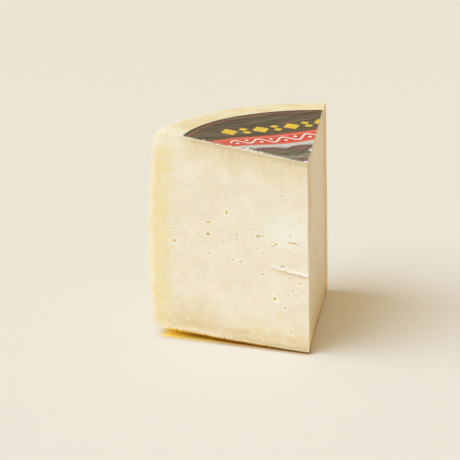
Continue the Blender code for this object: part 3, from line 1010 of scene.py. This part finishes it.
def measures(make):
    """What the cheese's tints go by: distances in millimetres, marks, and noise round 0.5."""
    at = SimpleNamespace(place=make.place())
    x, y, at.z = make.parts_of(at.place)
    at.radius, at.angle = make.polar(x, y)
    from_bulge = at.z - BULGE_HEIGHT / MM
    at.from_side = WHEEL_RADIUS / MM - from_bulge * from_bulge / (2 * BARREL_RADIUS / MM) - at.radius
    at.from_top = at.radius * DISH_SLOPE + (DISH_EDGE_HEIGHT - DISH_SLOPE * LABEL_RADIUS) / MM - at.z
    middle = make.place(WHEEL_AXIS + POINT_AT_FOOT)
    at.in_left, at.in_right = make.depth_in(middle, "left"), make.depth_in(middle, "right")
    at.on_right = make.ramp(at.in_left - at.in_right, 0.0, 0.5) * make.ramp(at.in_right, 3.0, 1.5)
    at.on_side = make.ramp(at.from_top, 3.0, 9.0)
    at.mark = {name: make.node("ShaderNodeAttribute", (), "Fac", attribute_name=name) for name in MARKS}
    at.foot = at.mark["foot"]
    at.slow = make.noise(at.place, 0.05, 2.0, 0.5)
    at.blotch = make.noise(at.place, 0.14, 4.0, 0.6)
    at.speck = make.noise(at.place, 0.9, 3.0, 0.6)
    at.wander = (at.blotch - 0.5) * WANDER
    at.under_side = at.from_side + at.wander
    return at


def near_spot(make, at, spot, inner, outer, share):
    """share within inner of a spot of the left cut, unevenly, and none beyond outer."""
    straight = make.between("DISTANCE", at.place, tuple(on_cut("left", *spot) / MM))
    return make.ramp(straight + at.wander * 1.2, outer, inner, 0.0, share)


def plain_paste(make, at):
    """Cream with greyer clouds, yellower under the rind, stained at the foot and palest by the flake."""
    patchy = make.ramp(make.noise(at.place, 0.25, 3.0, 0.6), 0.3, 0.6, 0.45, 1.0)
    patchy = make.ramp(at.speck, 0.1, 0.6, 0.65, 1.0) * patchy
    over_foot = at.foot + at.wander * 0.35
    stain = make.ramp(make.noise(at.place, 0.16, 3.0, 0.6), 0.3, 0.62, 0.1, 0.7)
    stain = make.band(over_foot, 3.0, 5.6, 1.3) * (stain * make.ramp(at.from_side, 7.0, 17.0))
    foot_strip = make.mix(make.ramp(at.from_side, 24.0, 42.0), PASTE_FOOT_STRIP, PASTE_FOOT_TAN)
    top_corner = make.ramp(at.from_top + at.wander * 0.8, 9.0, 3.0) * make.ramp(at.from_side, 26.0, 14.0)
    return make.layers(
        make.mix(make.ramp(at.blotch, 0.36, 0.66), PASTE_SHADED, PASTE_CREAM),
        (make.ramp(at.slow, 0.5, 0.7) * 0.6, PASTE_CLOUD),
        (make.ramp(at.under_side, 13.0, 5.0) * patchy, PASTE_BAND),
        (make.ramp(at.from_side + at.wander * 0.6, 3.2, 1.2, 0.0, 0.85), PASTE_OUTERMOST),
        (make.ramp(at.z + at.wander, 15.0, 3.0, 0.0, 0.6), PASTE_LOW),
        (near_spot(make, at, STAIN_AT, 4.0, 15.0, 0.5), PASTE_STAIN),
        (stain, PASTE_STAIN),
        (make.band(over_foot, 0.9, 2.4, 0.7) * 0.75, foot_strip),
        (near_spot(make, at, PALE_AT, 4.0, 13.0, 0.55), PASTE_PALE_AND_PAINTED_HIGHLIGHT),
        (top_corner * 0.7, PASTE_TOP_CORNER),
    )


def smeared_paste(make, at, paste):
    """The paste greyer and smeared under the label, with the knife's drag marks and pale flecks."""
    inner = make.ramp(at.from_side, 9.0, 20.0)
    high = make.ramp(at.from_top + at.wander, 14.0, 2.0, 0.0, 0.75) * inner
    near_top = make.ramp(at.from_top + at.wander * 0.6, 9.0, 1.0) * inner
    streaks = make.ramp(make.streaks((0.7, 0.7, 0.06), 4.0, 0.65), 0.4, 0.7, 0.0, 0.4)
    smear = make.ramp(at.from_top + (at.speck - 0.5) * 3.0, 3.0, 0.6, 0.0, 0.7) * inner
    upright = make.streaks((0.55, 0.55, 0.045), 3.0, 0.6)
    level = make.streaks((0.06, 0.06, 1.1), 3.0, 0.6, 0.4)
    return make.layers(
        paste,
        (high, PASTE_HIGH),
        (streaks * near_top, PASTE_STREAK),
        (smear, PASTE_SMEAR),
        (make.ramp(upright, 0.38, 0.26, 0.0, 0.4), PASTE_DRAG),
        (make.ramp(level, 0.42, 0.3, 0.0, 0.3), PASTE_DRAG),
        (make.ramp(at.speck, 0.6, 0.78, 0.0, 0.4), PASTE_FLECK),
    )


def right_cut_paste(make, at, paste):
    """The right cut: painted shade makes it tan, its yellow band towards the rind amber, and browner low down
    and along its foot, with thin dark slivers.
    """
    # painted shade: the right cut, turned from the key, is darkened from the same paste as the left cut
    tan = make.mix(make.ramp(at.under_side, 20.0, 8.0), RIGHT_PAINTED_SHADE, RIGHT_BAND_AND_PAINTED_SHADE)
    tan = make.mix(make.ramp(at.z + at.wander, 34.0, 6.0, 0.0, 0.8), tan, RIGHT_LOW_PAINTED_SHADE)
    by_edge = make.ramp(at.in_left, 20.0, 4.0, 0.0, 0.5) * make.ramp(at.z, 36.0, 62.0)
    slivers = make.streaks((0.62, 0.62, 0.13), 3.0, 0.6)
    tall = make.ramp(at.z, 20.0, 34.0) * make.ramp(at.z, 78.0, 62.0, 0.25, 1.0)
    return make.layers(
        paste,
        (at.on_right * 0.7, tan),
        (make.ramp(at.under_side, 17.0, 6.0, 0.0, 0.6) * at.on_right, RIGHT_OUTER),
        (by_edge * at.on_right, RIGHT_EDGE),
        (make.ramp(slivers, 0.55, 0.7, 0.0, 0.45) * (tall * at.on_right), PASTE_SLIVER_AND_PAINTED_SHADE),
        (make.ramp(slivers, 0.42, 0.3, 0.0, 0.4) * at.on_right, PASTE_FLECK),
        # painted shade along the right cut's foot
        (make.ramp(at.foot, 4.0, 0.6, 0.0, 0.75) * at.on_right, PASTE_SLIVER_AND_PAINTED_SHADE),
    )


def holed_paste(make, at, paste):
    """The paste with its pores, its eyes with linings that are partly painted shade, and the painted
    highlight over the flake's lip and painted shade under it.
    """
    pores = make.spots(make.place(stretch=(1.0, 1.0, 1.35)), 0.42, 0.55, 0.2)
    lining = make.mix(make.ramp(at.blotch, 0.4, 0.6), LINING_OLIVE_AND_PAINTED_SHADE, LINING_OCHRE_AND_PAINTED_SHADE)
    return make.layers(
        paste,
        (make.spots(at.place, 0.3, 0.6, 0.34) * 0.22, PASTE_FLECK),
        (pores * 0.5, PASTE_PORE),
        # painted shade under the flake's lip, and painted highlight over it
        (at.mark["scar"] * 0.6, PASTE_PAINTED_SHADE_UNDER_LIP),
        (at.mark["lip"], PASTE_PALE_AND_PAINTED_HIGHLIGHT),
        (at.mark["halo"] * make.mix_value(at.on_right, 0.65, 0.3), PASTE_PALE_AND_PAINTED_HIGHLIGHT),
        # the eyes' linings: yellower paste and painted shade of the hollows
        (at.mark["lining"], make.mix(at.mark["amber"], lining, LINING_AMBER)),
    )


def rind_colour_and_relief(make, at):
    """Waxy yellow, browner where it was handled, with rings, the pressing cloth's weave, creases and pits."""
    tone = make.noise(at.place, 0.1, 5.0, 0.62)
    handled = make.noise(at.place, 0.34, 4.0, 0.65, 0.5)
    around = make.node("ShaderNodeCombineXYZ", {0: at.angle * 3.0, 1: at.radius * 0.9, 2: 0.0})
    rings = make.noise(around, 1.0, 3.0, 0.6)
    pits = make.spots(make.place(stretch=(1.0, 1.0, 1.6)), 0.3, 0.5, 0.22)
    creases = make.ramp(abs(make.streaks((0.03, 0.03, 0.16), 4.0, 0.55, 1.2) - 0.5), 0.022, 0.0)

    # on the underside and the cut's lowest millimetre by the left cut: painted glow for the light that comes
    # through the foot, darkening to painted shade of the gap towards the point
    amber = make.mix(make.ramp(at.from_side, 6.0, 20.0), OUTER_FOOT_PAINTED_GLOW, FOOT_PAINTED_GLOW_AND_SHADE)
    amber = make.mix(make.ramp(at.from_side, 34.0, 60.0), amber, POINT_FOOT_PAINTED_SHADE)
    under = make.ramp(at.in_left, 7.0, 3.0) * make.ramp(at.from_side, 3.0, 9.0)
    colour = make.layers(
        make.mix(make.ramp(tone, 0.34, 0.66), RIND_DEEP, RIND_PALE),
        (make.ramp(handled, 0.56, 0.72, 0.0, 0.5), RIND_BROWN),
        (make.ramp(rings, 0.48, 0.66, 0.0, 0.45) * (1.0 - at.on_side), RIND_BROWN),
        (at.on_side * 0.35, RIND_SIDE),
        (pits * (at.on_side * 0.55), RIND_PIT),
        (creases * (at.on_side * 0.25), RIND_BROWN),
        (make.ramp(at.in_left, 13.0, 3.0, 0.0, 0.8), RIND_CORNER),
        (at.on_side * make.ramp(at.in_right, 5.0, 1.0), RIGHT_RIND),
        # painted glow and painted shade along the left cut's foot
        (under * make.ramp(at.foot, 1.6, 0.9), amber),
    )
    arc = at.angle * (WHEEL_RADIUS / MM)
    weave = make.math("SINE", arc * WEAVE_TURN) * make.math("SINE", at.z * WEAVE_TURN)
    worn = make.ramp(at.slow, 0.36, 0.6)
    relief = weave * worn * at.on_side * 0.5 + rings * 1.2 + handled * 1.4
    return colour, relief - at.on_side * (creases * 0.8 + pits * 1.5)


def paste_and_rind():
    make = Shading("paste and rind")
    at = measures(make)
    paste = smeared_paste(make, at, plain_paste(make, at))
    paste = holed_paste(make, at, right_cut_paste(make, at, paste))
    rind, rind_relief = rind_colour_and_relief(make, at)
    skin = make.ramp(at.from_side, 0.9, 0.3)  # 1 in the rind, most of a millimetre deep, and 0 in the paste
    skin = make.math("MAXIMUM", skin, make.ramp(at.from_top, 0.7, 0.2))
    # along the foot the rind's colour shows on the cut, carrying the painted glow and shade of the gap
    skin = make.math("MAXIMUM", skin, make.ramp(at.foot, 0.75, 0.35))
    grain = make.noise(at.place, 1.5, 4.0, 0.6)
    return make.finish(
        base_color=make.mix(skin, paste, rind),
        roughness=make.ramp(skin, 0.0, 1.0, 0.5, 0.36),
        subsurface_weight=0.3,
        subsurface_radius=(1.0, 0.62, 0.3),
        subsurface_scale=1.6 * MM,
        specular_ior_level=0.35,
        normal=make.bump(make.mix_value(skin, grain, rind_relief), 0.1 * MM, 0.7),
    )


def hills(make, u, v, texture):
    """Hills in layers under a pale sky, with a pale patch on them."""
    wave = make.streaks((0.09, 0.02, 0.02), 3.0, 0.6, turn=PRINT_TURN)
    colour = make.mix(make.ramp(texture, 0.35, 0.65), INK_HAZE_DARK, INK_HAZE)
    for number, (top, first, second) in enumerate(HILLS):
        ridge = v + (wave - 0.5) * HILL_SWING[number % 2]
        hill = make.mix(make.ramp(texture, 0.38, 0.62), first, second)
        colour = make.mix(make.ramp(ridge, top + 0.15, top - 0.15), colour, hill)
    du = (u - PALE_PATCH[0]) / PALE_PATCH[2]
    dv = (v - PALE_PATCH[1]) / PALE_PATCH[3]
    return make.mix(make.ramp(du * du + dv * dv + texture, 1.6, 1.3), colour, INK_HAZE)


def wave_and_dots(make, u, from_middle):
    """1 on the red band's wavy line and on the dots in its hollows."""
    start, pitch, swing, half = (WAVE_LINE[name] for name in ("start", "pitch", "swing", "half"))
    phase = (u - start) * (math.pi / pitch)
    steep = abs(make.math("COSINE", phase) * 0.45) + 1.0
    line = abs(from_middle - make.math("SINE", phase) * swing) / steep
    across, odd = make.row(u, start, pitch)
    dot_height = from_middle + (0.5 - odd) * (2 * swing * WAVE_DOT_HEIGHT)
    dot = make.math("SQRT", across * across + dot_height * dot_height)
    dot = make.ramp(dot, WAVE_DOT_RADIUS + 0.1, WAVE_DOT_RADIUS - 0.1)
    both = make.math("MAXIMUM", make.ramp(line, half + 0.1, half - 0.1), dot)
    return both * make.ramp(u, start - 0.2, start + 0.2)


def yellow_ornaments(make, u, v):
    """1 on the row of ornaments: lozenges, and pairs of small ones."""
    start, half = YELLOW_ROW["start"], YELLOW_ROW["half"]
    across, odd = make.row(u, start, YELLOW_ROW["pitch"])
    up = abs(v - YELLOW_ROW["middle"])
    full = make.ramp(across / LOZENGE_HALF_WIDTH + up / half, 1.03, 0.97)
    pair = across / PAIR_HALF_WIDTH + abs(up - 0.5 * half) / (PAIR_HEIGHT * half)
    motif = full * (1.0 - odd) + make.ramp(pair, 1.05, 0.95) * odd
    return motif * make.ramp(u, start - 0.2, start + 0.2)


def printed_paper():
    make = Shading("printed paper")
    place = make.place(turn=PRINT_TURN)
    u, v, _ = make.parts_of(place)
    radius, _ = make.polar(u, v)
    brushed = make.streaks((0.045, 0.5, 0.3), 5.0, 0.62, 0.5, turn=PRINT_TURN)
    texture = make.streaks((0.35, 0.8, 0.3), 4.0, 0.7, 0.8, turn=PRINT_TURN)
    scuffs = make.streaks((0.5, 1.6, 0.3), 4.0, 0.75, turn=PRINT_TURN)
    w = v + make.ramp(u, *BAND_DROOP)
    sheet = make.layers(
        # the dark ground, brushed along the print, with a line round it
        make.mix(make.ramp(brushed, 0.34, 0.66), INK_DARK, INK_GREY),
        (make.ramp(brushed, 0.62, 0.74, 0.0, 0.6), INK_PALE),
        (make.band(radius, *RING_LINE), INK_TERRACOTTA),
        (make.ramp(radius, RING_LINE[1] + 0.3, RING_LINE[1] + 0.6, 0.0, 0.6), INK_DARK),
        # the hills below the bands, and the pale strip over them
        (make.ramp(v, STRIP[1] + 0.1, STRIP[1] - 0.1), hills(make, u, v, texture)),
        (make.band(v + (texture - 0.5) * 2.0, STRIP[0], STRIP[1] + 1.0, 0.3), INK_HAZE),
        # the red band with its thin borders, and the yellow row
        (make.band(w, *RED_BAND), make.mix(make.ramp(texture, 0.3, 0.7), INK_RED, INK_RED_DEEP)),
        (make.band(w, *RED_BORDERS[0]), INK_PINK),
        (make.band(w, *RED_BORDERS[1]), INK_PINK),
        (wave_and_dots(make, u, w - WAVE_LINE["middle"]), INK_WHITE),
        (yellow_ornaments(make, u, v), make.mix(make.ramp(texture, 0.3, 0.7), INK_YELLOW, INK_YELLOW_DEEP)),
    )

    # white paper at the torn edges and in scuffs
    middle = make.place(WHEEL_AXIS + POINT_AT_FOOT)
    lint = make.ramp(make.noise(place, 1.3, 3.0, 0.7), 0.4, 0.75)
    bared = make.ramp(u, -32.0, -25.0, 0.15, 1.0) * make.ramp(u, -22.0, -15.0, 1.0, 0.4)
    for side, depth in TEAR_DEPTH.items():
        edge = make.depth_in(middle, side) - lint * LINT_REACH[side]
        white = make.ramp(edge, depth / MM * 0.8, depth / MM * 0.3)
        sheet = make.mix(white * bared, sheet, INK_WHITE)
    sheet = make.mix(make.ramp(scuffs, 0.68, 0.78, 0.0, 0.45), sheet, INK_HAZE)
    return make.finish(
        base_color=sheet,
        roughness=make.ramp(brushed, 0.3, 0.7, 0.5, 0.34),
        specular_ior_level=0.4,
        normal=make.bump(brushed + texture * 0.4, 0.12 * MM, 0.6),
    )


def crumb_paste():
    make = Shading("crumb paste")
    mottle = make.noise(make.place(), 2.0, 3.0, 0.6)
    colour = make.mix(make.ramp(mottle, 0.35, 0.65), PASTE_CREAM, PASTE_FLECK)
    return make.finish(base_color=colour, roughness=0.55, normal=make.bump(mottle, 0.08 * MM, 0.6))


def torn_paper():
    make = Shading("torn paper")
    lint = make.noise(make.place(), 3.0, 3.0, 0.7)
    colour = make.mix(make.ramp(lint, 0.35, 0.65), LINT_SHADED, LINT_WHITE)
    return make.finish(base_color=colour, roughness=0.8, normal=make.bump(lint, 0.06 * MM, 0.6))


def pale_ground_with_painted_glow():
    """A pale floor, with painted glow and painted shadow along the left cut for the amber light that comes
    through the cheese's foot.
    """
    make = Shading("pale ground")
    x, y, _ = make.parts_of(make.place(Vector()))
    # painted falloff of the light: the floor a little darker and warmer towards the back right
    ground = make.mix(make.ramp(y + x * 0.4, -150.0, 700.0), GROUND_NEAR, GROUND_FAR)

    # reach is from the point along the cut; across is 0 at the cut and -1 where the painted glow ends outside
    # it
    middle = make.place(WHEEL_AXIS + POINT_AT_FOOT)
    reach = make.between("DOT_PRODUCT", middle, tuple(cut_axes("left")[0]))
    inside = make.depth_in(middle, "left")
    across = inside / make.ramp(reach, 20.0, 58.0, 3.4, 4.8)
    deep = inside / make.ramp(reach, 10.0, 50.0, 3.0, 20.0)
    painted_glow = make.ramp(across, -1.0, 0.15) * make.ramp(deep, 1.0, 0.6)
    painted_glow = painted_glow * (make.ramp(reach, -3.0, 2.0) * make.ramp(reach, 67.0, 59.0))
    close = make.ramp(across, -0.4, 0.1)
    rim = make.mix(make.ramp(reach, 46.0, 36.0), GROUND_EDGE_PAINTED_GLOW_AND_SHADOW, GROUND_EDGE_PAINTED_SHADOW)
    core = make.mix(make.ramp(reach, 44.0, 28.0), GROUND_GAP_PAINTED_GLOW, GROUND_GAP_PAINTED_SHADOW)
    colour = make.mix(painted_glow * 0.9, ground, make.mix(close, rim, core))

    # the painted glow is brightest under the cut's outer end, where the floor also gives it off as light
    lit = close * (make.ramp(reach, 50.0, 63.0) * make.ramp(reach, 66.0, 61.0))
    lit = lit * make.ramp(inside, 14.0, 6.0) * PAINTED_GLOW_STRENGTH
    return make.finish(base_color=colour, roughness=0.9, emission_color=PAINTED_GLOW_COLOUR, emission_strength=lit)


# ---------------------------------------------------------------- the setting


def looking_from(azimuth, elevation):
    """The direction from the wedge to a camera or lamp; azimuth 0 is in front of it, on -Y."""
    level = math.cos(elevation)
    return Vector((math.sin(azimuth) * level, -math.cos(azimuth) * level, math.sin(elevation)))


def add_facing(data, direction):
    """A camera or lamp that looks back along a direction."""
    obj = bpy.data.objects.new(data.name, data)
    bpy.context.scene.collection.objects.link(obj)
    obj.rotation_euler = direction.to_track_quat("Z", "Y").to_euler()
    return obj


def set_camera():
    lens = bpy.data.cameras.new("camera")
    lens.lens = LENS_MM
    lens.sensor_width = SENSOR_MM
    lens.clip_start = 10 * MM
    direction = looking_from(VIEW_AZIMUTH, VIEW_ELEVATION)
    camera = add_facing(lens, direction)
    camera.location = VIEW_TARGET + direction * VIEW_DISTANCE
    bpy.context.scene.camera = camera


def set_light():
    """A broad soft key from far away, and an even sky."""
    key = bpy.data.lights.new("key", "SUN")
    key.energy = KEY_STRENGTH
    key.color = KEY_COLOUR
    key.angle = KEY_BREADTH
    add_facing(key, looking_from(KEY_AZIMUTH, KEY_ELEVATION))
    world = bpy.data.worlds.new("studio")
    bpy.context.scene.world = world
    world.use_nodes = True
    sky = world.node_tree.nodes["Background"]
    sky.inputs["Color"].default_value = SKY_COLOUR
    sky.inputs["Strength"].default_value = SKY_STRENGTH


def set_stage():
    bpy.ops.mesh.primitive_plane_add(size=GROUND_SIZE)
    ground = new_piece("ground")
    ground.data.materials.append(pale_ground_with_painted_glow())
    set_light()
    bpy.context.scene.view_settings.view_transform = "Standard"


# ---------------------------------------------------------------- putting it together


def dress(piece, material, slot_name, *nodes):
    """Moves a piece from the wheel's axis to its place, gives it its material and rides it on the wedge."""
    piece.location = WHEEL_AXIS
    settle(piece)
    piece.data.materials.clear()
    piece.data.materials.append(material)
    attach(piece, "root")
    if nodes:
        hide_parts(*nodes)


def main():
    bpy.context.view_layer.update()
    cheese = make_cheese()
    label = make_label()
    dress(cheese, paste_and_rind(), "cheese", "cheese_wedge")
    dress(label, printed_paper(), "label_paper", "label")
    dress(make_crumbs(), crumb_paste(), "cheese")
    dress(make_fibres(), torn_paper(), "label_paper")
    set_stage()
    set_camera()


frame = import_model()
main()
